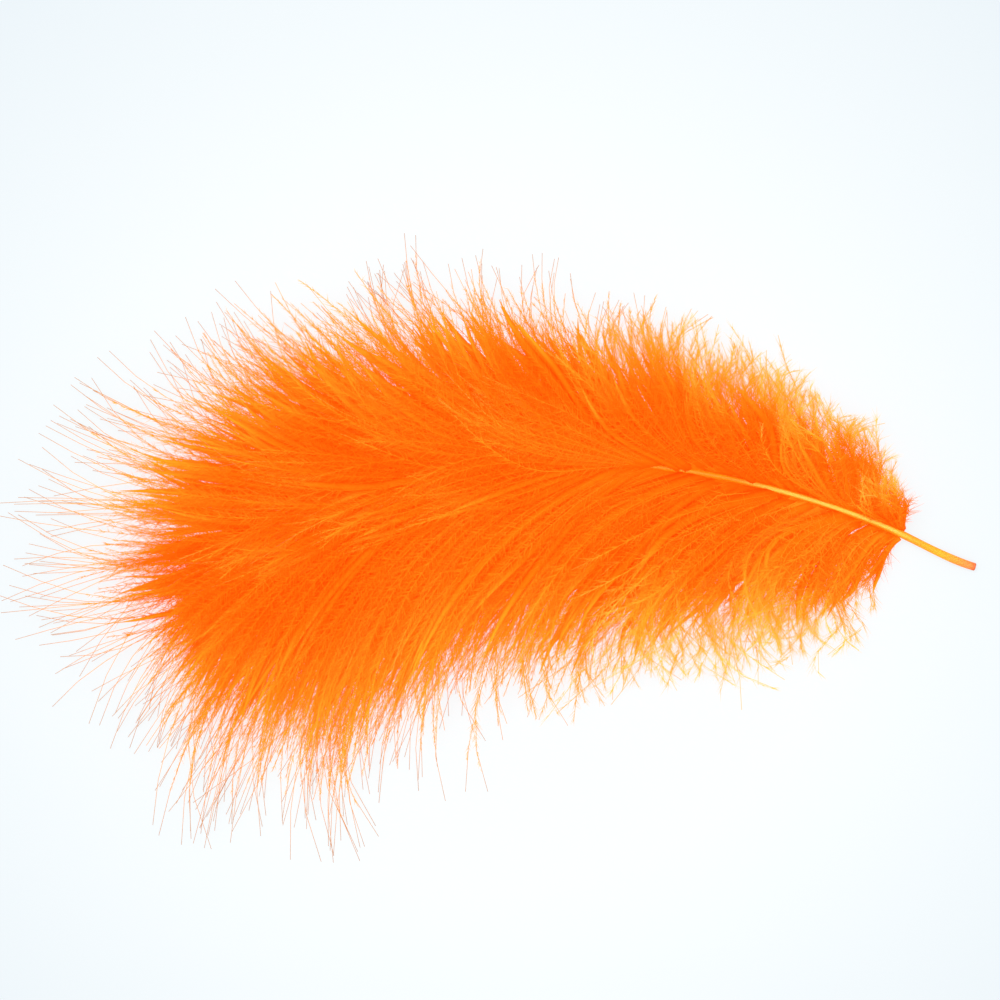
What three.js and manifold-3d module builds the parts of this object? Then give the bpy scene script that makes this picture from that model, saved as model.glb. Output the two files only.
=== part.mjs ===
// A marabou feather: the downy plume of a turkey, lying on a table.
// Millimetres. +X runs towards the cut end of the quill, +Y across the vane, +Z up from the table.
import * as THREE from 'three';
import { mergeVertices } from 'three/addons/utils/BufferGeometryUtils.js';
import Module from 'manifold-3d';

// The shaft's middle line, from the cut end of the quill to the last locks, as a cubic Bezier.
const SHAFT_POINTS = [
  [0, 0, 0.72],
  [-38, 19.2, 6],
  [-81.7, 25.8, 8.2],
  [-114.5, 4.5, 5.2],
];
// The bare quill sags below that line, most at a third of this share of the shaft, and levels out at its cut.
const QUILL_SAG = 25;
const SAG_END = 0.15;
// Where the cut end lies, seen from the middle of the feather.
const QUILL_END = [80.68, -3.35];
const SHAFT_SIDES = 10;
const SHAFT_STEPS = 20;
const QUILL_RADIUS = 0.66;
const SHAFT_TIP_RADIUS = 0.14;
// Above 1, the shaft keeps its thickness for longer before it thins.
const SHAFT_TAPER = 1.6;
// The quill is a hollow pipe at its cut end.
const PIPE_RADIUS = 0.36;
const PIPE_DEPTH = 3.0;

// The vane: locks of down on both sides of the shaft, from share 0 by the quill to share 1 at the tip.
const VANE_START = 0.11;
const LOCKS_PER_SIDE = 24;
// How far the first lock of a side stands from the start, in steps from lock to lock.
const UPPER_FIRST = 0.15;
const LOWER_FIRST = 0.5;
// Above 1, the locks stand closer together by the quill.
const CROWDING = 1.15;
// Each row: share, length, and the angle to the shaft in degrees where a lock leaves it and at its tip.
const UPPER_SIDE = [
  [0.0, 8, 28, 46],
  [0.1, 19, 28, 76],
  [0.25, 27.5, 24, 80],
  [0.42, 38, 22, 74],
  [0.6, 50, 22, 66],
  [0.78, 52, 20, 58],
  [0.9, 56, 14, 40],
  [1.0, 48, 7, 18],
];
const LOWER_SIDE = [
  [0.0, 13, 56, 106],
  [0.08, 29, 44, 110],
  [0.25, 46, 28, 96],
  [0.42, 61, 24, 86],
  [0.6, 73, 24, 87],
  [0.78, 69, 21, 63],
  [0.9, 56, 14, 36],
  [1.0, 43, 5, 9],
];
// Locks that lie along the top of the shaft and hide it; their angles are towards +Y, or towards -Y below 0.
const COVER_LOCKS = [
  [0.46, 40, 7, 24],
  [0.52, 44, -8, -26],
  [0.59, 46, 8, 22],
  [0.66, 46, -7, -22],
  [0.74, 44, 7, 18],
  [0.82, 42, -6, -18],
];
// Locks that end the plume, in one fan.
const TIP_ROOT = 0.985;
const TIP_LOCK_LENGTH = 47;
const TIP_LOCK_ANGLES = [
  [-4, -8],
  [0, 2],
  [4, 12],
];

// A lock is a flat spindle, thin where it leaves the shaft and widest half way out.
const LOCK_SIDES = 5;
const LOCK_STEP = 9.5;
const FEWEST_STEPS = 4;
const LOCK_HALF_WIDTH = 4.2;
const LOCK_HALF_HEIGHT = 1.6;
const LOCK_ROOT = 0.28;
const LOCK_SWELL = 0.5;
const LOCK_TAPER = 4.0;
// Locks under this length are thinner and arch less.
const FULL_LENGTH = 27;
const SHORT_FULLNESS = 0.55;

// The down stands in three layers: how high a lock arches over the straight way to its tip, and the tip's height.
const LAYERS = [
  { arch: 7.0, tip: 5.6 },
  { arch: -2.4, tip: 1.0 },
  { arch: 2.4, tip: 3.2 },
];
const COVER_ARCH = 5.6;
const COVER_TIP = 7.0;
const TIP_LOCK_ARCH = 0.5;
const LOWEST_MIDDLE = 0.35;
// Locks grow unevenly: shares of their length, degrees, and millimetres of height.
const LENGTH_SPREAD = 0.07;
const ANGLE_SPREAD = 3.5;
const HEIGHT_SPREAD = 0.7;
// A length that reaches past the feather on all sides.
const BEYOND = 200;

const wasm = await Module();
wasm.setup();

// Golden steps from -1 to 1: even, and never twice the same.
function uneven(index, kind) {
  return 2 * ((index * 0.618034 + kind * 0.414214) % 1) - 1;
}

// A row of a side's table, read between its rows.
function lockAt(table, share) {
  const next = Math.max(1, table.findIndex((row) => row[0] >= share));
  const [before, after] = [table[next - 1], table[next]];
  const part = (share - before[0]) / (after[0] - before[0]);
  return before.map((value, i) => THREE.MathUtils.lerp(value, after[i], part));
}

class ShaftLine extends THREE.CubicBezierCurve3 {
  getPoint(v, target = new THREE.Vector3()) {
    super.getPoint(v, target);
    target.y -= QUILL_SAG * v * Math.max(0, 1 - v / SAG_END) ** 2;
    return target;
  }
}

const shaft = new ShaftLine(...SHAFT_POINTS.map((p) => new THREE.Vector3(...p)));

function placeOnShaft(share) {
  return THREE.MathUtils.lerp(VANE_START, 1, share ** CROWDING);
}

// A lock's middle line: in plan an arc that turns away from the shaft, in height an arch.
class LockPath extends THREE.Curve {
  constructor({ at, side, length, rootAngle, tipAngle, arch, tip }) {
    super();
    this.root = shaft.getPoint(at);
    this.along = shaft.getTangent(at).setZ(0).normalize();
    this.across = new THREE.Vector3(this.along.y, -this.along.x, 0).multiplyScalar(side);
    this.from = THREE.MathUtils.degToRad(rootAngle);
    this.turn = THREE.MathUtils.degToRad(tipAngle - rootAngle);
    this.steps = Math.max(FEWEST_STEPS, Math.round(length / LOCK_STEP));
    this.radius = length / this.turn;
    this.arch = arch;
    this.tip = tip;
  }

  getPoint(v, target = new THREE.Vector3()) {
    const angle = this.from + this.turn * v;
    const height = THREE.MathUtils.lerp(this.root.z, this.tip, v) + this.arch * 4 * v * (1 - v);
    return target
      .copy(this.root)
      .addScaledVector(this.along, this.radius * (Math.sin(angle) - Math.sin(this.from)))
      .addScaledVector(this.across, this.radius * (Math.cos(this.from) - Math.cos(angle)))
      .setZ(Math.max(height, LOWEST_MIDDLE));
  }
}

// Lays a turned form along a path: its height becomes the way along, its round the section.
function layAlong(geometry, path, wide, high) {
  const position = geometry.getAttribute('position');
  for (let i = 0; i < position.count; i++) {
    const v = position.getY(i);
    const tangent = path.getTangent(v);
    const across = new THREE.Vector3(tangent.y, -tangent.x, 0).normalize();
    const up = new THREE.Vector3().crossVectors(across, tangent);
    const point = path
      .getPoint(v)
      .addScaledVector(across, wide * position.getX(i))
      .addScaledVector(up, high * position.getZ(i));
    position.setXYZ(i, point.x, point.y, point.z);
  }
  return geometry;
}

// A closed geometry as a solid; the turned form's poles leave triangles without area, which go.
function toSolid(geometry) {
  const bare = geometry.clone().deleteAttribute('normal').deleteAttribute('uv');
  const merged = mergeVertices(bare);
  const index = merged.index.array;
  const corners = [];
  for (let i = 0; i < index.length; i += 3) {
    const [a, b, c] = [index[i], index[i + 1], index[i + 2]];
    if (a !== b && b !== c && c !== a) corners.push(a, b, c);
  }
  const vertProperties = merged.getAttribute('position').array;
  return new wasm.Manifold(new wasm.Mesh({ numProp: 3, vertProperties, triVerts: new Uint32Array(corners) }));
}

// The shaft: a pipe at the cut end, then a rod that thins towards the tip.
function shaftSolid() {
  const profile = [
    new THREE.Vector2(0, PIPE_DEPTH / shaft.getLength()),
    new THREE.Vector2(PIPE_RADIUS, PIPE_DEPTH / shaft.getLength()),
    new THREE.Vector2(PIPE_RADIUS, 0),
  ];
  for (let i = 0; i <= SHAFT_STEPS; i++) {
    const v = i / SHAFT_STEPS;
    profile.push(new THREE.Vector2(THREE.MathUtils.lerp(QUILL_RADIUS, SHAFT_TIP_RADIUS, v ** SHAFT_TAPER), v));
  }
  profile.push(new THREE.Vector2(0, 1));
  return toSolid(layAlong(new THREE.LatheGeometry(profile, SHAFT_SIDES), shaft, 1, 1));
}

// A lock: a spindle that starts inside the shaft and runs out to a point.
function lockSolid(path, fullness = 1) {
  const profile = [new THREE.Vector2(0, 0)];
  for (let i = 0; i < path.steps; i++) {
    const v = i / path.steps;
    const swell = THREE.MathUtils.lerp(LOCK_ROOT, 1, THREE.MathUtils.smoothstep(v, 0, LOCK_SWELL));
    profile.push(new THREE.Vector2(swell * (1 - v ** LOCK_TAPER), v));
  }
  profile.push(new THREE.Vector2(0, 1));
  const wide = LOCK_HALF_WIDTH * fullness;
  const high = LOCK_HALF_HEIGHT * fullness;
  return toSolid(layAlong(new THREE.LatheGeometry(profile, LOCK_SIDES), path, wide, high));
}

// One side's locks: side 1 is the upper side, towards +Y, and -1 the lower.
function sideLocks(table, side) {
  const locks = [];
  for (let i = 0; i < LOCKS_PER_SIDE; i++) {
    const share = (i + (side > 0 ? UPPER_FIRST : LOWER_FIRST)) / LOCKS_PER_SIDE;
    const [, length, rootAngle, tipAngle] = lockAt(table, share);
    const layer = LAYERS[(i + (side > 0 ? 0 : 1)) % LAYERS.length];
    const growth = Math.min(1, length / FULL_LENGTH);
    const seed = side * (i + 1) + LOCKS_PER_SIDE + 1;
    const path = new LockPath({
      at: placeOnShaft(share),
      side,
      length: length * (1 + LENGTH_SPREAD * uneven(seed, 1)),
      rootAngle,
      tipAngle: tipAngle + ANGLE_SPREAD * uneven(seed, 2),
      arch: layer.arch * growth + HEIGHT_SPREAD * uneven(seed, 3),
      tip: layer.tip + HEIGHT_SPREAD * uneven(seed, 4),
    });
    locks.push(lockSolid(path, THREE.MathUtils.lerp(SHORT_FULLNESS, 1, growth)));
  }
  return locks;
}

function coverLocks() {
  return COVER_LOCKS.map(([share, length, rootAngle, tipAngle]) =>
    lockSolid(
      new LockPath({
        at: placeOnShaft(share),
        side: Math.sign(tipAngle),
        length,
        rootAngle: Math.abs(rootAngle),
        tipAngle: Math.abs(tipAngle),
        arch: COVER_ARCH,
        tip: COVER_TIP,
      }),
    ),
  );
}

function tipLocks() {
  return TIP_LOCK_ANGLES.map(([rootAngle, tipAngle], i) =>
    lockSolid(
      new LockPath({
        at: TIP_ROOT,
        side: 1,
        length: TIP_LOCK_LENGTH,
        rootAngle,
        tipAngle,
        arch: LAYERS[i].arch * TIP_LOCK_ARCH,
        tip: LAYERS[i].tip,
      }),
    ),
  );
}

// The whole feather grew as one piece; where it lies on the table its down is pressed flat.
function featherSolid() {
  const grown = [...sideLocks(UPPER_SIDE, 1), ...sideLocks(LOWER_SIDE, -1), ...coverLocks(), ...tipLocks()];
  const whole = grown.reduce((solid, lock) => solid.add(lock), shaftSolid());
  const table = toSolid(new THREE.BoxGeometry(2 * BEYOND, 2 * BEYOND, BEYOND).translate(0, 0, -BEYOND / 2));
  const pieces = whole.subtract(table).decompose();
  return pieces.reduce((largest, piece) => (piece.volume() > largest.volume() ? piece : largest));
}

function toGeometry(solid) {
  const { vertProperties, triVerts } = solid.getMesh();
  const geometry = new THREE.BufferGeometry();
  geometry.setAttribute('position', new THREE.BufferAttribute(vertProperties, 3));
  geometry.setIndex(new THREE.BufferAttribute(triVerts, 1));
  geometry.computeVertexNormals();
  return geometry;
}

const down = new THREE.MeshStandardMaterial({ color: 0xff7a14, roughness: 0.9, metalness: 0 });
const feather = new THREE.Mesh(toGeometry(featherSolid()), down);
feather.name = 'feather';
feather.position.set(...QUILL_END, 0);

const plume = new THREE.Group();
plume.add(feather);

export default plume;
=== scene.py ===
import math

import bpy
import numpy as np
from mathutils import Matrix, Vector


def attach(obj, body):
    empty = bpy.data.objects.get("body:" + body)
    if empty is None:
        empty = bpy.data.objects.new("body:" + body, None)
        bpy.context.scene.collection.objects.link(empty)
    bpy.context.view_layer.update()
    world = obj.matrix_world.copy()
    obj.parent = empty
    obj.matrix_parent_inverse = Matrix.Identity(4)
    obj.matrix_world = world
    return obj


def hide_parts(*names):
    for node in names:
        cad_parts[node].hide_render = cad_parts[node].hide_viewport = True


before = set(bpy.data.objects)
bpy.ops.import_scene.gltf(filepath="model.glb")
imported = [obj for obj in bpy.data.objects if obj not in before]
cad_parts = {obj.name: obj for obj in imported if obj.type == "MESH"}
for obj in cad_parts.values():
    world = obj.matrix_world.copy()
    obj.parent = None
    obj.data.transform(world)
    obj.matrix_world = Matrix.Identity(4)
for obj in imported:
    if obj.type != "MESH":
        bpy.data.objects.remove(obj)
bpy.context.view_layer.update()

# The shaft. It is one horny rod that grew with the feather: a bare hollow pipe at the cut, the quill, which
# from the first barbs on is filled with pith and thins to a hair. It is dyed through, clear and amber where
# it is hollow.

MM = 0.001
QUILL_END = MM * np.array([80.68, -3.35, 0.0])
SHAFT_POINTS = QUILL_END + MM * np.array(
    [[0, 0, 0.72], [-38, 19.2, 6], [-81.7, 25.8, 8.2], [-114.5, 4.5, 5.2]]
)
QUILL_SAG = 25 * MM
SAG_END = 0.15
QUILL_RADIUS = 0.66 * MM
SHAFT_TIP_RADIUS = 0.14 * MM
SHAFT_TAPER = 1.6
PIPE_RADIUS = 0.46 * MM
PIPE_DEPTH = 0.025  # as a share of the shaft
PIPE_BOTTOM_RADIUS = 0.02 * MM
RIM_ROUNDING = 0.06 * MM
SHAFT_SIDES = 24
SHAFT_STEPS = 150
QUILL_SWELL = 0.05
QUILL_SWELL_END = 0.2
QUILL_WAVES = 60  # radians over the shaft's length
UP = np.array([0.0, 0.0, 1.0])


def smooth(x, low, high):
    """Rises from 0 at low to 1 at high with level ends: three squares less two cubes."""
    x = np.clip((x - low) / (high - low), 0, 1)
    return x * x * (3 - 2 * x)


def unit(vectors):
    """Each vector over its own length."""
    return vectors / np.linalg.norm(vectors, axis=-1, keepdims=True)


def shaft_point(t):
    """A cubic Bezier: the four points weighted by the terms of (1 - t + t) cubed. By the cut it sags by t
    times the square of what is left of the way to SAG_END."""
    t = np.asarray(t, float)[..., None]
    a, b, c, d = SHAFT_POINTS
    line = (1 - t) ** 3 * a + 3 * (1 - t) ** 2 * t * b + 3 * (1 - t) * t**2 * c + t**3 * d
    return line - QUILL_SAG * t * np.maximum(0, 1 - t / SAG_END) ** 2 * [0.0, 1.0, 0.0]


def shaft_tangent(t):
    """The slope of the shaft's line, as a unit vector: the Bezier's less that of the sag."""
    t = np.asarray(t, float)[..., None]
    a, b, c, d = SHAFT_POINTS
    left = np.maximum(0, 1 - t / SAG_END)
    slope = 3 * (1 - t) ** 2 * (b - a) + 6 * (1 - t) * t * (c - b) + 3 * t**2 * (d - c)
    return unit(slope - QUILL_SAG * left * (left - 2 * t / SAG_END) * [0.0, 1.0, 0.0])


def tubes(centres, radii, sides, along=None):
    """Closed tubes along n paths of m points: a ring round each point, square to the path, and a flat cap
    at both ends. centres is (n, m, 3), and radii is (n, m, sides) or has a 1 in place of sides. along gives
    the paths' directions, where they aren't those from point to point."""
    n, m, _ = centres.shape
    along = unit(np.gradient(centres, axis=1)) if along is None else along
    across = unit(np.cross(along, UP))
    upward = np.cross(across, along)
    turn = 2 * np.pi * np.arange(sides) / sides
    ring = np.cos(turn)[:, None] * across[:, :, None] + np.sin(turn)[:, None] * upward[:, :, None]
    points = centres[:, :, None] + radii[..., None] * ring
    here = np.arange(sides)
    after = (here + 1) % sides
    ring_start = sides * (m * np.arange(n)[:, None, None] + np.arange(m - 1)[None, :, None])
    a, b = ring_start + here, ring_start + after
    walls = np.stack([a, b, b + sides, a, b + sides, a + sides], -1).reshape(-1, 3)
    first = sides * m * np.arange(n)[:, None]
    last = first + sides * (m - 1)
    fan = np.arange(1, sides - 1)
    root_caps = np.stack([first + 0 * fan, first + fan + 1, first + fan], -1).reshape(-1, 3)
    tip_caps = np.stack([last + 0 * fan, last + fan, last + fan + 1], -1).reshape(-1, 3)
    return points.reshape(-1, 3), np.concatenate([walls, root_caps, tip_caps])


def add_piece(name, points, triangles, values, spots, material, rounded):
    """Makes a mesh object that stands in for the CAD feather. values holds one number per point for each
    attribute, and spots a place per point on the map that the colours are kept through."""
    mesh = bpy.data.meshes.new(name)
    count = len(triangles)
    mesh.vertices.add(len(points))
    mesh.vertices.foreach_set("co", points.astype(np.float32).ravel())
    mesh.loops.add(3 * count)
    mesh.loops.foreach_set("vertex_index", triangles.astype(np.int32).ravel())
    mesh.polygons.add(count)
    mesh.polygons.foreach_set("loop_start", np.arange(0, 3 * count, 3, dtype=np.int32))
    mesh.polygons.foreach_set("use_smooth", np.full(count, rounded))
    mesh.update(calc_edges=True)
    for key, value in values.items():
        layer = mesh.attributes.new(key, "FLOAT", "POINT")
        layer.data.foreach_set("value", value.astype(np.float32).ravel())
    place = mesh.uv_layers.new(name="OFBake")
    place.data.foreach_set("uv", spots[triangles.ravel()].astype(np.float32).ravel())
    mesh.materials.append(material)
    piece = bpy.data.objects.new(name, mesh)
    bpy.context.scene.collection.objects.link(piece)
    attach(piece, "root")
    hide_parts("feather")


def new_material(name):
    """A material with nodes, its Principled shader and a way to add and join nodes."""
    material = bpy.data.materials.new(name)
    material.use_nodes = True
    tree = material.node_tree

    def add(kind, **settings):
        node = tree.nodes.new(kind)
        for key, value in settings.items():
            setattr(node, key, value)
        return node

    return material, tree.nodes["Principled BSDF"], add, tree.links.new


def ramp(add, join, source, stops):
    """A colour ramp read at source; stops are (place, colour)."""
    node = add("ShaderNodeValToRGB")
    elements = node.color_ramp.elements
    while len(elements) < len(stops):
        elements.new(0.5)
    for element, (place, colour) in zip(elements, stops):
        element.position = place
        element.color = (*colour, 1)
    join(source, node.inputs["Fac"])
    return node.outputs["Color"]


def blend(add, join, share, colour, other):
    """A colour mixed with another, fixed one by the share at a socket."""
    node = add("ShaderNodeMix", data_type="RGBA")
    node.inputs["B"].default_value = (*other, 1)
    join(share, node.inputs["Factor"])
    join(colour, node.inputs["A"])
    return node.outputs["Result"]


def keratin_material():
    """Dyed horn: amber where hollow, darker at the cut and deeper orange along the filled shaft. A painted
    highlight, a pale band along the top of its back, runs from near the quill up to where the down closes
    over it."""
    material, skin, add, join = new_material("dyed_keratin")
    along = add("ShaderNodeAttribute", attribute_name="along").outputs["Fac"]
    around = add("ShaderNodeAttribute", attribute_name="around").outputs["Fac"]
    base = ramp(add, join, along, [
        (0.0, (0.4, 0.07, 0.02)),
        (0.006, (0.85, 0.17, 0.04)),
        (0.05, (0.95, 0.28, 0.012)),
        (0.12, (1.0, 0.2, 0.003)),
        (0.5, (1.0, 0.18, 0.002)),
    ])
    # Painted highlight: a pale band along the top of the shaft, where it shows between the barbs, stands for
    # the lamps' shine on it.
    top_highlight_band = ramp(add, join, around, [(0.9, (0, 0, 0)), (0.98, (1, 1, 1))])
    bare = ramp(add, join, along, [
        (0.08, (0, 0, 0)),
        (0.13, (1, 1, 1)),
        (0.27, (1, 1, 1)),
        (0.35, (0, 0, 0)),
    ])
    painted_highlight = add("ShaderNodeMath", operation="MULTIPLY")
    join(top_highlight_band, painted_highlight.inputs[0])
    join(bare, painted_highlight.inputs[1])
    join(blend(add, join, painted_highlight.outputs["Value"], base, (1.0, 0.4, 0.05)), skin.inputs["Base Color"])
    skin.inputs["Roughness"].default_value = 0.45
    skin.inputs["Subsurface Weight"].default_value = 0.35
    skin.inputs["Subsurface Radius"].default_value = (1.0, 0.4, 0.1)
    skin.inputs["Subsurface Scale"].default_value = 0.6 * MM
    skin.inputs["Specular IOR Level"].default_value = 0.15
    return material


# The profile from the bottom of the pipe, out over the rim and along the outside: share along the shaft,
# radius. The bare quill is slightly uneven.
outside = np.concatenate([[0.0, 0.0007, 0.002], np.linspace(0.006, 1, SHAFT_STEPS)])
outside_radius = QUILL_RADIUS + (SHAFT_TIP_RADIUS - QUILL_RADIUS) * outside**SHAFT_TAPER
outside_radius[0] -= RIM_ROUNDING
profile_at = np.concatenate([[PIPE_DEPTH, PIPE_DEPTH, 0.004, 0.0], outside])
inside_radius = [PIPE_BOTTOM_RADIUS, PIPE_RADIUS, PIPE_RADIUS, PIPE_RADIUS + RIM_ROUNDING / 2]
profile_radius = np.concatenate([inside_radius, outside_radius])
bare = 1 - smooth(profile_at, QUILL_SWELL_END / 4, QUILL_SWELL_END)
swell = 1 + QUILL_SWELL * np.sin(QUILL_WAVES * profile_at) * bare
points, faces = tubes(
    shaft_point(profile_at)[None],
    (profile_radius * swell)[None, :, None],
    SHAFT_SIDES,
    shaft_tangent(profile_at)[None],
)
turn = 2 * np.pi * np.arange(SHAFT_SIDES) / SHAFT_SIDES
share_along = np.repeat(profile_at, SHAFT_SIDES)
share_around = np.tile(0.5 + 0.5 * np.sin(turn), len(profile_at))
place_along = np.repeat(np.linspace(0.01, 0.99, len(profile_at)), SHAFT_SIDES)
spots = np.stack([place_along, np.tile(turn / 7, len(profile_at))], -1)
values = {"along": share_along, "around": share_around}
add_piece("shaft", points, faces, values, spots, keratin_material(), True)

# The locks. The barbs hang together in locks on both sides of the shaft, lie back towards the tip of the
# feather, and bend outwards.

VANE_START = 0.11
LOCKS_PER_SIDE = 24
UPPER_FIRST = 0.15
LOWER_FIRST = 0.5
CROWDING = 1.15
# Each row: share of the vane, length in mm, and the angle to the shaft in degrees at the root and the tip.
UPPER_SIDE = np.array([
    [0.0, 8, 28, 46],
    [0.1, 19, 28, 76],
    [0.25, 27.5, 24, 80],
    [0.42, 38, 22, 74],
    [0.6, 50, 22, 66],
    [0.78, 52, 20, 58],
    [0.9, 56, 14, 40],
    [1.0, 48, 7, 18],
])
LOWER_SIDE = np.array([
    [0.0, 13, 56, 106],
    [0.08, 29, 44, 110],
    [0.25, 46, 28, 96],
    [0.42, 61, 24, 86],
    [0.6, 73, 24, 87],
    [0.78, 69, 21, 63],
    [0.9, 56, 14, 36],
    [1.0, 43, 5, 9],
])
COVER_LOCKS = np.array([
    [0.46, 40, 7, 24],
    [0.52, 44, -8, -26],
    [0.59, 46, 8, 22],
    [0.66, 46, -7, -22],
    [0.74, 44, 7, 18],
    [0.82, 42, -6, -18],
])
TIP_ROOT = 0.985
TIP_LOCK_LENGTH = 47
TIP_LOCK_ANGLES = np.array([[-4, -8], [0, 2], [4, 12]])
LOCK_HALF_WIDTH = 4.2 * MM
LOCK_HALF_HEIGHT = 1.6 * MM
LOCK_ROOT_WIDTH = 0.1  # as a share of its full width
LOCK_SWELL = 0.5  # the share of its length at which it is fully open
FULL_LENGTH = 27
SHORT_FULLNESS = 0.55
LAYER_ARCH = np.array([7.0, -2.4, 2.4])
LAYER_TIP = np.array([5.6, 1.0, 3.2])
COVER_ARCH = 5.6
COVER_TIP = 7.0
TIP_LOCK_ARCH = 0.5
LENGTH_SPREAD = 0.07
ANGLE_SPREAD = 3.5
HEIGHT_SPREAD = 0.7
LOWEST = 0.1 * MM
# How far down covers a barb, as a share of its length, from the quill to the tip of the plume.
DOWN_SHARES = np.array([0.0, 0.2, 0.42, 0.8, 1.0])
DOWN_ENDS = np.array([1.0, 1.0, 0.89, 0.86, 0.7])
TIP_DOWN_END = 0.59
DOWNY_FROM = 0.88  # above this share a lock counts as downy
# The tone of the dye, from 0 for deep to 1 for pale: least and most, and what the downy locks add to each.
TONE_RANGE = (0.25, 0.37)
DOWNY_TONES = (0.03, 0.15)
rng = np.random.default_rng(20)


def uneven(index, kind):
    """Golden steps from -1 to 1."""
    return 2 * ((index * 0.618034 + kind * 0.414214) % 1) - 1


def place_on_shaft(share):
    """Where on the shaft a share of the vane grows: closer together by the quill."""
    return VANE_START + (1 - VANE_START) * share**CROWDING


def make_locks(at, side, length, root_angle, tip_angle, arch, tip, fullness, down_end):
    """Locks as named arrays: where and which way they leave the shaft, their arc, arch and size, and their
    down."""
    n = len(at)
    along = unit(shaft_tangent(at) * [1, 1, 0])
    side = np.broadcast_to(side, n)
    return {
        "at": at,
        "root": shaft_point(at),
        "along": along,
        "across": side[:, None] * np.stack([along[:, 1], -along[:, 0], 0 * at], -1),
        "length": MM * np.broadcast_to(length, n),
        "from": np.radians(root_angle),
        "turn": np.radians(tip_angle - root_angle),
        "arch": MM * np.broadcast_to(arch, n),
        "tip": MM * np.broadcast_to(tip, n),
        "fullness": np.broadcast_to(fullness, n),
        "down_end": np.broadcast_to(down_end, n),
        "downy": smooth(np.broadcast_to(down_end, n), DOWNY_FROM, 1.0),
        "side": side,
    }


def side_locks(table, side, first):
    """The locks of one side of the vane, in three layers by turns."""
    i = np.arange(LOCKS_PER_SIDE)
    share = (i + first) / LOCKS_PER_SIDE
    length, root_angle, tip_angle = (np.interp(share, table[:, 0], table[:, k]) for k in (1, 2, 3))
    layer = (i + (0 if side > 0 else 1)) % len(LAYER_ARCH)
    seed = side * (i + 1) + LOCKS_PER_SIDE + 1
    growth = np.minimum(1, length / FULL_LENGTH)
    return make_locks(
        place_on_shaft(share),
        side,
        length * (1 + LENGTH_SPREAD * uneven(seed, 1)),
        root_angle,
        tip_angle + ANGLE_SPREAD * uneven(seed, 2),
        LAYER_ARCH[layer] * growth + HEIGHT_SPREAD * uneven(seed, 3),
        LAYER_TIP[layer] + HEIGHT_SPREAD * uneven(seed, 4),
        SHORT_FULLNESS + (1 - SHORT_FULLNESS) * growth,
        np.interp(share, DOWN_SHARES, DOWN_ENDS),
    )


def cover_locks():
    """The locks that lie along the top of the shaft, to both sides of it by turns."""
    share, length, root_angle, tip_angle = COVER_LOCKS.T
    return make_locks(
        place_on_shaft(share),
        np.sign(tip_angle),
        length,
        abs(root_angle),
        abs(tip_angle),
        COVER_ARCH,
        COVER_TIP,
        1,
        np.interp(share, DOWN_SHARES, DOWN_ENDS),
    )


def tip_locks():
    """The locks that end the plume."""
    at = np.full(len(TIP_LOCK_ANGLES), TIP_ROOT)
    root_angle, tip_angle = TIP_LOCK_ANGLES.T
    arch = TIP_LOCK_ARCH * LAYER_ARCH
    return make_locks(at, 1, TIP_LOCK_LENGTH, root_angle, tip_angle, arch, LAYER_TIP, 1, TIP_DOWN_END)


def pick(strands, index):
    """The given strands' numbers, one set for each entry of index."""
    return {key: value[index] for key, value in strands.items()}


def plan_frame(strands, v):
    """The plan direction of a strand and the level direction square to it, where its arc has turned by its
    share v."""
    angle = strands["from"] + strands["turn"] * v
    cos, sin = np.cos(angle)[..., None], np.sin(angle)[..., None]
    along, across = strands["along"], strands["across"]
    return cos * along + sin * across, cos * across - sin * along


def arc_point(strands, v):
    """A lock's middle line at share v. In plan it is the chord of an arc, as long as the arc times
    sin(x) / x of half its turn. Its height goes straight from root to tip, plus a parabola."""
    half_turn = strands["turn"] * v / 2
    chord = strands["length"] * v * np.sinc(half_turn / np.pi)
    angle = strands["from"] + half_turn
    rise = (strands["tip"] - strands["root"][..., 2]) * v + strands["arch"] * 4 * v * (1 - v)
    return (
        strands["root"]
        + (chord * np.cos(angle))[..., None] * strands["along"]
        + (chord * np.sin(angle))[..., None] * strands["across"]
        + rise[..., None] * UP
    )


def down_material():
    """Dyed down: an orange that half of the light goes through, deep or pale with its tone, with dusky bare
    tips. Its own glow, which gives a good part of its brightness, stands for the light that wanders from
    hair to hair inside real down."""
    material, skin, add, join = new_material("dyed_down")
    dusk = add("ShaderNodeAttribute", attribute_name="dusk").outputs["Fac"]
    tone = add("ShaderNodeAttribute", attribute_name="tone").outputs["Fac"]
    dye = ramp(add, join, tone, [
        (0.0, (1.0, 0.12, 0.002)),
        (0.25, (0.99, 0.162, 0.003)),
        (0.6, (1.0, 0.36, 0.016)),
        (1.0, (1.0, 0.58, 0.09)),
    ])
    glow = ramp(add, join, tone, [
        (0.0, (1.0, 0.12, 0.002)),
        (0.3, (1.0, 0.24, 0.004)),
        (1.0, (1.0, 0.52, 0.06)),
    ])
    colour = blend(add, join, dusk, dye, (0.42, 0.24, 0.17))
    join(colour, skin.inputs["Base Color"])
    skin.inputs["Roughness"].default_value = 0.7
    skin.inputs["Specular IOR Level"].default_value = 0.02
    join(blend(add, join, dusk, glow, (0.0, 0.0, 0.0)), skin.inputs["Emission Color"])
    skin.inputs["Emission Strength"].default_value = 0.45
    material.cycles.emission_sampling = "NONE"
    through = add("ShaderNodeBsdfTranslucent")
    join(colour, through.inputs["Color"])
    both = add("ShaderNodeMixShader")
    both.inputs["Fac"].default_value = 0.5
    join(skin.outputs["BSDF"], both.inputs[1])
    join(through.outputs["BSDF"], both.inputs[2])
    join(both.outputs["Shader"], material.node_tree.nodes["Material Output"].inputs["Surface"])
    return material


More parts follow.
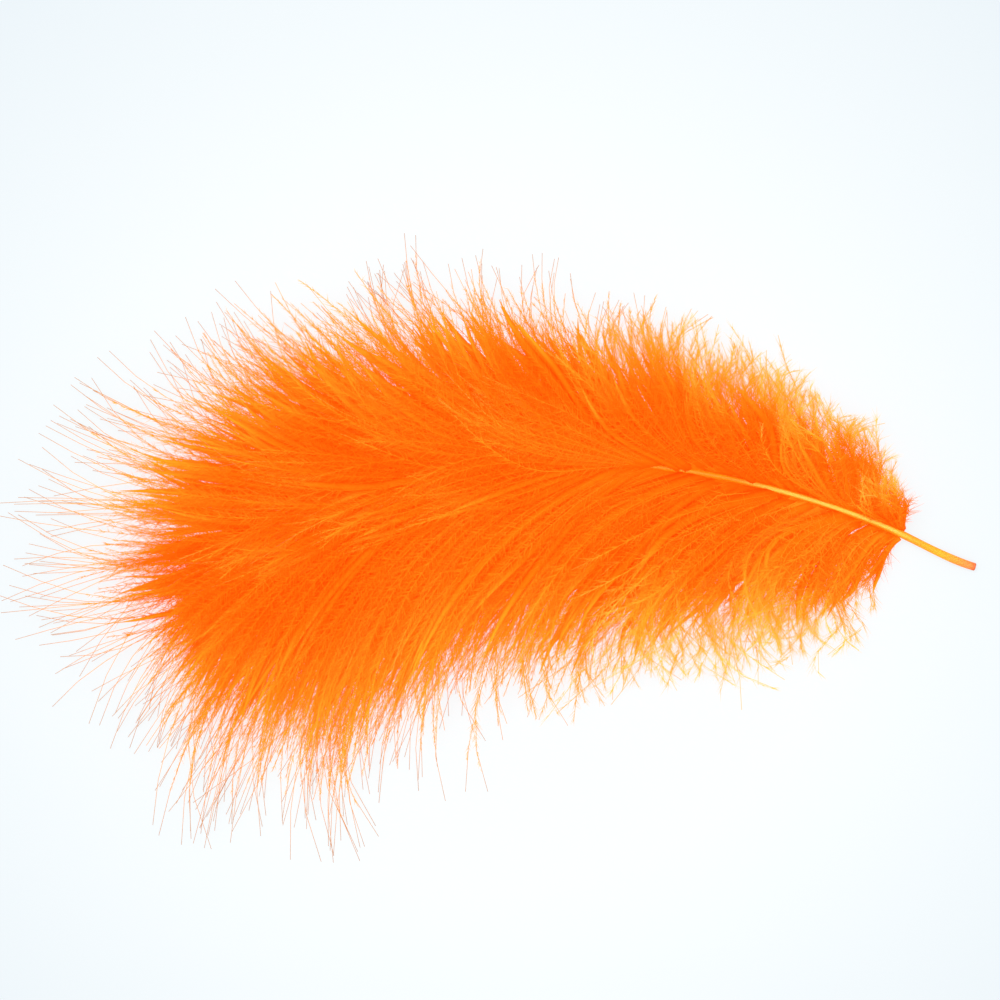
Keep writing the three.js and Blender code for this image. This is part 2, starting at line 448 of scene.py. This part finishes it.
down = down_material()
cover, tip = cover_locks(), tip_locks()
locks = {
    "upper": side_locks(UPPER_SIDE, 1, UPPER_FIRST),
    "lower": side_locks(LOWER_SIDE, -1, LOWER_FIRST),
    "middle": {key: np.concatenate([cover[key], tip[key]]) for key in cover},
}
for group in locks.values():
    least, most = (tone + more * group["downy"] for tone, more in zip(TONE_RANGE, DOWNY_TONES))
    group["tone"] = rng.uniform(least, most)

# The barbs. They are the soft branches of the shaft that make up the locks. Those nearer the tip of the
# feather end in a long bare hair, and a few of these cling together at their tips.

BARBS_PER_LOCK = 40
BARBS_THAT_CLING = 6
BARB_STEPS = 10
BARB_SIDES = 3
BARB_ROOT_RADIUS = 0.07 * MM
BARB_TIP_RADIUS = 0.052 * MM
BARB_TAPER = 0.8
LONG_SHARE = 0.3  # of the barbs outside the downy part
STRAY_SHARE = 0.015  # of the long barbs, which reach further than the rest
STRAY_LENGTH = 0.07
# How far the others reach, and how far down covers a barb, as shares of its lock's down: least and most.
SHORT_REACHES = (0.84, 1.04)
DOWN_REACHES = (0.9, 1.08)
GROWN_LENGTH = 45 * MM  # from this length on a lock has its full curl and width
EVEN_ARCH = 4.2 * MM  # to which every strand's arch is drawn by the share of EVENNESS
EVENNESS = 0.4
# The shaft's back shows between the barbs up to here on it, and there they grow from its sides.
RIDGE_FADE = 0.36
RIDGE_END = 0.48
ROOT_ASIDE = 0.75 * MM
ROOT_DROP = 0.4 * MM
LAST_ROOT = 0.998
# Where in the lock strands grow and end, and how far they stray by chance, each by itself, or shared by all
# that cling together.
ROOT_SPREAD = 1.3  # in half widths of the lock
ROOT_RISE = 0.3  # in half heights
TIP_SPREAD = 1.3
LENGTH_CHANCE = 0.03
LENGTH_SHARED = 0.05
ROOT_ANGLE_CHANCE = 3  # degrees
TURN_CHANCE = 2.5  # degrees
TURN_SHARED = 5  # degrees
ARCH_CHANCE = 1.6 * MM
TIP_HEIGHT_CHANCE = 0.9 * MM
TIP_CHANCE = 0.9 * MM
WAVE_CHANCE = 0.4 * MM
WAVE_SHARED = 0.5 * MM
WAVES = 1.3  # along a strand
WAVES_CHANCE = 0.1
WAVES_SHARED = 0.3
CURL_CHANCE = 2.8 * MM
CURL_SHARED = 3 * MM
LIFT_CHANCE = 1.0 * MM
TONE_CHANCE = 0.03
TONE_SHARED = 0.1
# How much more the downy strands turn and wave than the others.
DOWNY_TURN = 1.5
DOWNY_WAVE = 5.5
# How the colour changes along a barb.
PALER_FROM = 0.45
PALER_TO = 0.95
PALER_BY = 0.45
DOWNY_PALER_BY = 0.1
DUSK_FROM = 0.74
DUSK = 0.8
DOWNY_DUSK_LESS = 0.8
SPOT = 0.012  # how wide a strand is on the colour map


def opening(v):
    """How wide a lock has opened at share v, as a share of its full width."""
    return LOCK_ROOT_WIDTH + (1 - LOCK_ROOT_WIDTH) * smooth(v, 0, LOCK_SWELL)


def grow_strands(locks, each, beside, above, cling, looseness, aside):
    """Strands that follow the given locks, each with its own root, length, angle, waves and curl by chance.
    Those that cling share the place of their tips, their curl and their turn. beside and above are places in
    the lock's section, from -1 to 1. Where the shaft's back shows, the roots lie aside of its middle line."""
    index = np.repeat(np.arange(len(locks["at"])), each)
    strands = pick(locks, index)
    n = len(index)
    cluster = np.arange(n) // cling

    def chance(scale):
        return looseness * rng.normal(0, scale, n)

    def shared(scale):
        return chance(scale)[cluster]

    spacing = (1 - VANE_START) / LOCKS_PER_SIDE
    at = np.clip(strands["at"] - 0.5 * spacing * beside, VANE_START, LAST_ROOT)
    along = unit(shaft_tangent(at) * [1, 1, 0])
    across = strands["side"][:, None] * np.stack([along[:, 1], -along[:, 0], 0 * at], -1)
    beside_shaft = 1 - smooth(at, RIDGE_FADE, RIDGE_END)
    downy = strands["downy"]
    full = strands["fullness"]
    half_width = full * LOCK_HALF_WIDTH
    grown = np.minimum(1, strands["length"] / GROWN_LENGTH)
    long = (rng.random(n)[cluster] < LONG_SHARE) & (downy < 0.5)
    length = strands["length"] * (1 + chance(LENGTH_CHANCE) + shared(LENGTH_SHARED))
    root_angle = strands["from"] + np.radians(chance(ROOT_ANGLE_CHANCE))
    more_turn = chance(TURN_CHANCE) + shared(TURN_SHARED) * (1 + DOWNY_TURN * downy)
    arch = strands["arch"] * (1 - EVENNESS) + EVENNESS * EVEN_ARCH + chance(ARCH_CHANCE)
    tip_height = strands["tip"] + chance(TIP_HEIGHT_CHANCE)
    beside_tip = TIP_SPREAD * (2 * rng.random(n)[cluster] - 1) * half_width
    beside_tip += chance(TIP_CHANCE) * (1 - 0.5 * downy)
    wave = (chance(WAVE_CHANCE) + shared(WAVE_SHARED)) * (1 + DOWNY_WAVE * downy) * grown
    wave_turns = WAVES + chance(WAVES_CHANCE) + shared(WAVES_SHARED)
    wave_phase = 2 * np.pi * rng.random(n)[cluster]
    curl = (chance(CURL_CHANCE) + shared(CURL_SHARED)) * (1 + downy) * grown**2
    lift = chance(LIFT_CHANCE)
    long_reach = 1 + (rng.random(n) < STRAY_SHARE) * STRAY_LENGTH
    reach = np.where(long, long_reach, strands["down_end"] * rng.uniform(*SHORT_REACHES, n))
    tone = strands["tone"] + chance(TONE_CHANCE) + shared(TONE_SHARED) * downy
    down_end = np.minimum(strands["down_end"] * rng.uniform(*DOWN_REACHES, n), reach)
    strands.update({
        "at": at,
        "root": shaft_point(at) + beside_shaft[:, None] * (aside * across - ROOT_DROP * UP),
        "along": along,
        "across": across,
        "length": length,
        "from": root_angle,
        "turn": strands["turn"] + np.radians(more_turn),
        "arch": arch,
        "tip": tip_height,
        "beside": beside * (0.9 + 0.1 * grown) * half_width,
        "beside_tip": beside_tip,
        "above": above * full * LOCK_HALF_HEIGHT,
        "grown": grown,
        "wave": wave,
        "wave_turns": wave_turns,
        "wave_phase": wave_phase,
        "curl": curl,
        "lift": lift,
        "reach": reach,
        "tone": tone,
        "down_end": down_end,
    })
    return strands


def strand_point(strands, v):
    """A strand's middle line at share v: that of its lock, moved by its place in the lock's section, which
    drifts to that of its tip with the cube of v, and by its waves and curl. It stays off the table."""
    place = strands["beside"] * (1 - v**3) + strands["beside_tip"] * v**3
    wave = strands["wave"] * v * np.sin(2 * np.pi * strands["wave_turns"] * v + strands["wave_phase"])
    sideways = place * opening(v) + wave + strands["curl"] * v**4
    upward = strands["above"] * opening(v) * (1 - 0.5 * v**3) + strands["lift"] * v**2
    _, beside = plan_frame(strands, v)
    point = arc_point(strands, v) + sideways[..., None] * beside + upward[..., None] * UP
    point[..., 2] = np.maximum(point[..., 2], LOWEST)
    return point


def outer_tone(tone, v, downy):
    """The tone at share v of a barb: paler outwards, where the down is thin."""
    return np.clip(tone + (PALER_BY + DOWNY_PALER_BY * downy) * smooth(v, PALER_FROM, PALER_TO), 0.1, 1)


def colour_spots(dusk, tone, right, up):
    """Places on the colour map: dusk to the right and tone up, with each face spread to a small triangle."""
    return np.stack([0.02 + 0.94 * dusk + SPOT * right, 0.02 + 0.94 * tone + SPOT * up], -1)


def random_places(n):
    """Places in a lock's section, more of them in its upper half."""
    reach = np.sqrt(rng.uniform(0.1, 1, n))
    turn = 2 * np.pi * rng.random(n)
    above = reach * np.sin(turn)
    above = np.where(rng.random(n) < 0.5, abs(above), above)
    return ROOT_SPREAD * reach * np.cos(turn), above + ROOT_RISE


barbs = {}
share = np.linspace(0, 1, BARB_STEPS)
radii = BARB_ROOT_RADIUS + (BARB_TIP_RADIUS - BARB_ROOT_RADIUS) * share**BARB_TAPER
for where, group in locks.items():
    n = BARBS_PER_LOCK * len(group["at"])
    beside, above = random_places(n)
    barbs[where] = grow_strands(group, BARBS_PER_LOCK, beside, above, BARBS_THAT_CLING, 1, ROOT_ASIDE)
for where, group in barbs.items():
    n = len(group["tone"])
    v = group["reach"][:, None] * share
    centres = strand_point(pick(group, np.arange(n)[:, None]), v)
    points, faces = tubes(centres, radii[None, :, None], BARB_SIDES)
    v = np.repeat(v.ravel(), BARB_SIDES)
    downy = np.repeat(group["downy"], BARB_STEPS * BARB_SIDES)
    dusk = DUSK * smooth(v, DUSK_FROM, 1.0) * (1 - DOWNY_DUSK_LESS * downy)
    tone = outer_tone(np.repeat(group["tone"], BARB_STEPS * BARB_SIDES), v, downy)
    corner = np.tile(np.arange(BARB_SIDES), n * BARB_STEPS)
    spots = colour_spots(dusk, tone, corner == 1, corner == 2)
    add_piece("barbs_" + where, points, faces, {"dusk": dusk, "tone": tone}, spots, down, False)

# The deep down. Under its outer hairs each lock is so dense that no hair shows by itself: soft flat strands
# stand for it, which run beside each other along the locks and end before their barbs do.

STRANDS_PER_LOCK = 18
STRAND_SIDES = 5
STRAND_STEPS = 10
STRAND_HALF_WIDTH = 0.72 * MM
STRAND_HALF_HEIGHT = 0.35 * MM
STRAND_ASIDE = 0.6 * MM
STRAND_SPREAD = 1.15  # in half widths of the lock
STRAND_END = 0.96  # as a share of its lock's down
STRAND_ENDS = (0.76, 0.98)  # what chance makes of that: least and most
DOWNY_END_LESS = 0.04
# What is left of a strand's length and width on the shortest locks.
LEAST_GROWN_END = 0.65
LEAST_GROWN_WIDTH = 0.55
# How wide it is at its root, and how it narrows to its end.
STRAND_ROOT_WIDTH = 0.75
STRAND_NARROWER_BY = 0.97
STRAND_TAPER = 2.6
LOWEST_WIDER_BY = 1.4  # less its height in the lock, because the deep ones fill the gaps
# Painted shade: the strands are a deeper tone than their barbs, and darker the lower they lie in the lock.
# Their ends grow paler, as the barbs do outwards, and more so to lift the shade that lies on them, which is
# painted light.
STRAND_PAINTED_SHADE = -0.07
PAINTED_DEPTH_SHADE = 0.1
STRAND_PALER_FROM = 0.58
STRAND_PALER_BY = 0.42
STRAND_LOOSENESS = 0.5

share = np.linspace(0, 1, STRAND_STEPS)
turn = 2 * np.pi * np.arange(STRAND_SIDES) / STRAND_SIDES
ellipse = 1 / np.hypot(np.cos(turn) / STRAND_HALF_WIDTH, np.sin(turn) / STRAND_HALF_HEIGHT)
for where, group in locks.items():
    n = STRANDS_PER_LOCK * len(group["at"])
    beside = rng.uniform(-STRAND_SPREAD, STRAND_SPREAD, n)
    above = rng.uniform(-1.0, 0.1, n)
    strands = grow_strands(group, STRANDS_PER_LOCK, beside, above, 1, STRAND_LOOSENESS, STRAND_ASIDE)
    grown = strands["grown"]
    length_left = LEAST_GROWN_END + (1 - LEAST_GROWN_END) * grown
    ends = (STRAND_END - DOWNY_END_LESS * strands["downy"]) * length_left
    ends = ends * np.repeat(group["down_end"], STRANDS_PER_LOCK) * rng.uniform(*STRAND_ENDS, n)
    v = ends[:, None] * share
    centres = strand_point(pick(strands, np.arange(n)[:, None]), v)
    width_left = LEAST_GROWN_WIDTH + (1 - LEAST_GROWN_WIDTH) * grown
    full = (strands["fullness"] * width_left * (LOWEST_WIDER_BY - above))[:, None]
    taper = 1 - STRAND_NARROWER_BY * share**STRAND_TAPER
    full = full * np.maximum(opening(v), STRAND_ROOT_WIDTH) * taper
    centres[..., 2] = np.maximum(centres[..., 2], LOWEST + STRAND_HALF_HEIGHT * full)
    points, faces = tubes(centres, full[..., None] * ellipse, STRAND_SIDES)
    points[:, 2] = np.maximum(points[:, 2], LOWEST)
    # Painted shade by depth in the lock, and paler ends.
    paler = STRAND_PALER_BY * smooth(share, STRAND_PALER_FROM, 1)
    tone = (strands["tone"] + STRAND_PAINTED_SHADE + PAINTED_DEPTH_SHADE * above)[:, None] + paler
    tone = np.repeat(tone, STRAND_SIDES)
    corner = np.tile(np.arange(STRAND_SIDES) / STRAND_SIDES, n * STRAND_STEPS)
    spots = colour_spots(0, tone, np.tile(np.repeat(share, STRAND_SIDES), n), corner)
    add_piece("down_" + where, points, faces, {"dusk": 0 * tone, "tone": tone}, spots, down, True)

# The barbules. Each barb is fringed on both sides with hairs too fine to see one by one; they make the down
# soft and fill the locks. On the plume's barbs they shorten and stop before the tip, on the downy ones by
# the quill they don't.

BARBULES_PER_METRE = 2150
BARBULE_LENGTH = 3.0 * MM
BARBULE_LENGTHS = (0.6, 1.2)  # what chance makes of it: least and most
BARBULE_RADIUS = 0.064 * MM
OUTER_THINNER_BY = 0.35
CROWDED_OUTWARDS = 0.62
FIRST_BARBULE = 0.03
BARBULE_RISE = (-0.06, 0.1)  # where on the barb they go from none to their full length
SHORTER_FROM = 0.76  # as a share of the barb's down
SHORTER_BY = 0.7
DOWNY_SHORTER_BY = 0.45  # less
ROLL_CHANCE = 0.9
CROWDED_ARCH = 9 * MM  # a barb that arches this high has twice as many
# The room that a hair has by the shaft's bare back: on it, for each step aside, and beyond it.
LEAST_ROOM = 0.2 * MM
ROOM_ASIDE = 1.3
FREE_ROOM = 10 * MM
# The angle to the barb in degrees: by its root, what the downy ones add, and how much less it is far out.
BARBULE_ANGLE = 50
DOWNY_ANGLE = 10
OUTER_LEAN = 28
DOWNY_LEAN = 8
ANGLE_CHANCE = 14
DOWNY_ANGLE_CHANCE = 8
MOST_TRIANGLES = 190_000


def spikes(roots, tips, radii):
    """Closed hairs: three corners round the root, joined to the tip."""
    line = unit(tips - roots)
    side_a = unit(np.cross(line, UP + 0.3 * line[:, [1, 2, 0]]))
    side_b = np.cross(line, side_a)
    turn = 2 * np.pi * np.arange(3) / 3
    ring = np.cos(turn)[:, None] * side_a[:, None] + np.sin(turn)[:, None] * side_b[:, None]
    points = np.concatenate([roots[:, None] + radii[:, None, None] * ring, tips[:, None]], 1)
    pattern = np.array([[0, 2, 1], [0, 1, 3], [1, 2, 3], [2, 0, 3]])
    faces = 4 * np.arange(len(roots))[:, None, None] + pattern
    return points.reshape(-1, 3), faces.reshape(-1, 3)


def grow_barbules(barbs, per_metre):
    """Root, tip, radius and tone of every hair. It leaves its barb sideways, leans towards the barb's tip,
    and isn't so long that it lies over the shaft's bare back. High and short barbs have more of them."""
    lengths = barbs["length"] * barbs["down_end"]
    count = int(per_metre * lengths.sum())
    weights = lengths * ((1 + barbs["arch"] / CROWDED_ARCH).clip(0.4, 2) + 1 - barbs["grown"])
    host = pick(barbs, rng.choice(len(lengths), count, p=weights / weights.sum()))
    downy = host["downy"]
    end = host["down_end"]
    v = FIRST_BARBULE + (end - FIRST_BARBULE) * rng.random(count) ** CROWDED_OUTWARDS
    root = strand_point(host, v)
    aside = abs(((root - host["root"]) * host["across"]).sum(-1))
    beyond = smooth(host["at"], RIDGE_END - 0.04, RIDGE_END + 0.11)
    room = LEAST_ROOM + ROOM_ASIDE * aside + FREE_ROOM * beyond
    fullness = 1 - (SHORTER_BY - DOWNY_SHORTER_BY * downy) * smooth(v, SHORTER_FROM * end, end)
    length = BARBULE_LENGTH * fullness * smooth(v, *BARBULE_RISE) * rng.uniform(*BARBULE_LENGTHS, count)
    length = np.minimum(length, room)
    ahead = unit(strand_point(host, v + 0.01) - root)
    _, beside = plan_frame(host, v)
    above = unit(np.cross(ahead, beside))
    side = np.where(rng.random(count) < 0.5, -1, 1)
    roll = rng.normal(0, ROLL_CHANCE, count)
    out = (side * np.cos(roll))[:, None] * beside + np.sin(roll)[:, None] * above
    outer = smooth(v, 0.35, 0.85)
    middle = BARBULE_ANGLE + DOWNY_ANGLE * downy - (OUTER_LEAN + DOWNY_LEAN * downy) * outer
    angle = np.radians(rng.normal(middle, ANGLE_CHANCE + DOWNY_ANGLE_CHANCE * downy * (1 - outer)))
    tip = root + length[:, None] * (np.cos(angle)[:, None] * ahead + np.sin(angle)[:, None] * out)
    tip[:, 2] = np.maximum(tip[:, 2], LOWEST)
    radius = BARBULE_RADIUS * (1 - OUTER_THINNER_BY * outer)
    return root, tip, radius, outer_tone(host["tone"] + rng.normal(0, TONE_CHANCE, count), v, downy)


for where, group in barbs.items():
    root, tip, radius, tone = grow_barbules(group, BARBULES_PER_METRE)
    parts = math.ceil(4 * len(root) / MOST_TRIANGLES)
    for part in range(parts):
        mine = slice(part, None, parts)
        points, faces = spikes(root[mine], tip[mine], radius[mine])
        tones = np.repeat(tone[mine], 4)
        corner = np.tile(np.arange(4), len(tones) // 4)
        spots = colour_spots(0, tones, np.isin(corner, (1, 3)), np.isin(corner, (2, 3)))
        name = f"barbules_{where}_{part + 1}"
        add_piece(name, points, faces, {"dusk": 0 * tones, "tone": tones}, spots, down, False)

# The table, lights and camera. The feather lies on a white sheet under big soft lamps and is seen from
# straight above, through a long lens. The sheet's colour is painted light: it glows, so that it comes out as
# white paper does under a bright lamp and the feather's shadow on it stays faint, and it is painted as a pool
# of light, brighter in the middle and dimmer and cooler towards its rim.

FLOOR_SIDE = 3.0
PAINTED_LIGHT_MIDDLE = (0.0965, 0.1005, 0.1015)
PAINTED_LIGHT_RIM = (0.083, 0.0895, 0.0935)
FLOOR_PAINTED_GLOW = 8.0
MIDDLE_END = 0.45  # as a share of the rim's radius
RIM_RADIUS = 0.13
PIXEL = 160 * MM / 945  # the plume is 945 pixels long
QUILL_PIXEL = (975, 567)
PICTURE_SIDE = 1000
EYE_HEIGHT = 0.95
MID_HEIGHT = 6 * MM
FILM_WIDTH = 36

corner = FLOOR_SIDE / 2
corners = [(-corner, -corner, 0), (corner, -corner, 0), (corner, corner, 0), (-corner, corner, 0)]
floor_mesh = bpy.data.meshes.new("floor")
floor_mesh.from_pydata(corners, [], [(0, 1, 2, 3)])
floor = bpy.data.objects.new("floor", floor_mesh)
bpy.context.scene.collection.objects.link(floor)
sheet, sheet_skin, add, join = new_material("white_sheet")
place = add("ShaderNodeTexCoord")
distance = add("ShaderNodeVectorMath", operation="LENGTH")
share = add("ShaderNodeMath", operation="DIVIDE")
share.inputs[1].default_value = RIM_RADIUS
join(place.outputs["Object"], distance.inputs[0])
join(distance.outputs["Value"], share.inputs[0])
# Painted light: a pool of lamp light, brightest in the middle and dimmer and cooler towards the rim, and a
# glow that keeps the feather's shadow faint.
painted_light_pool = [(0.0, PAINTED_LIGHT_MIDDLE), (MIDDLE_END, PAINTED_LIGHT_MIDDLE), (1.0, PAINTED_LIGHT_RIM)]
sheet_painted_light = ramp(add, join, share.outputs["Value"], painted_light_pool)
join(sheet_painted_light, sheet_skin.inputs["Base Color"])
join(sheet_painted_light, sheet_skin.inputs["Emission Color"])
sheet_skin.inputs["Emission Strength"].default_value = FLOOR_PAINTED_GLOW
sheet_skin.inputs["Roughness"].default_value = 0.9
sheet_skin.inputs["Specular IOR Level"].default_value = 0.0
floor_mesh.materials.append(sheet)


def add_lamp(name, place, size, power):
    """A square area lamp at place that faces the feather."""
    lamp = bpy.data.lights.new(name, "AREA")
    lamp.size = size
    lamp.energy = power
    lamp_object = bpy.data.objects.new(name, lamp)
    lamp_object.location = place
    lamp_object.rotation_euler = Vector(place).to_track_quat("Z", "Y").to_euler()
    bpy.context.scene.collection.objects.link(lamp_object)


add_lamp("key_lamp", (-0.2, 0.25, 1.2), 0.6, 11)
add_lamp("fill_lamp", (0.5, -0.3, 1.1), 1.2, 7)
world = bpy.data.worlds.new("white_room")
world.use_nodes = True
world.node_tree.nodes["Background"].inputs["Color"].default_value = (0.95, 0.98, 1.0, 1)
world.node_tree.nodes["Background"].inputs["Strength"].default_value = 1.3
bpy.context.scene.world = world
bpy.context.scene.view_settings.view_transform = "Standard"
bpy.context.scene.cycles.max_bounces = 6
bpy.context.scene.cycles.diffuse_bounces = 4
bpy.context.scene.cycles.transmission_bounces = 4

camera_data = bpy.data.cameras.new("camera")
camera = bpy.data.objects.new("camera", camera_data)
bpy.context.scene.collection.objects.link(camera)
camera_data.sensor_width = FILM_WIDTH
camera_data.lens = FILM_WIDTH * (EYE_HEIGHT - MID_HEIGHT) / (PICTURE_SIDE * PIXEL)
quill_scale = PIXEL * (EYE_HEIGHT - SHAFT_POINTS[0, 2]) / (EYE_HEIGHT - MID_HEIGHT)
camera.location = (
    QUILL_END[0] + (PICTURE_SIDE / 2 - QUILL_PIXEL[0]) * quill_scale,
    QUILL_END[1] - (PICTURE_SIDE / 2 - QUILL_PIXEL[1]) * quill_scale,
    EYE_HEIGHT,
)
bpy.context.scene.camera = camera
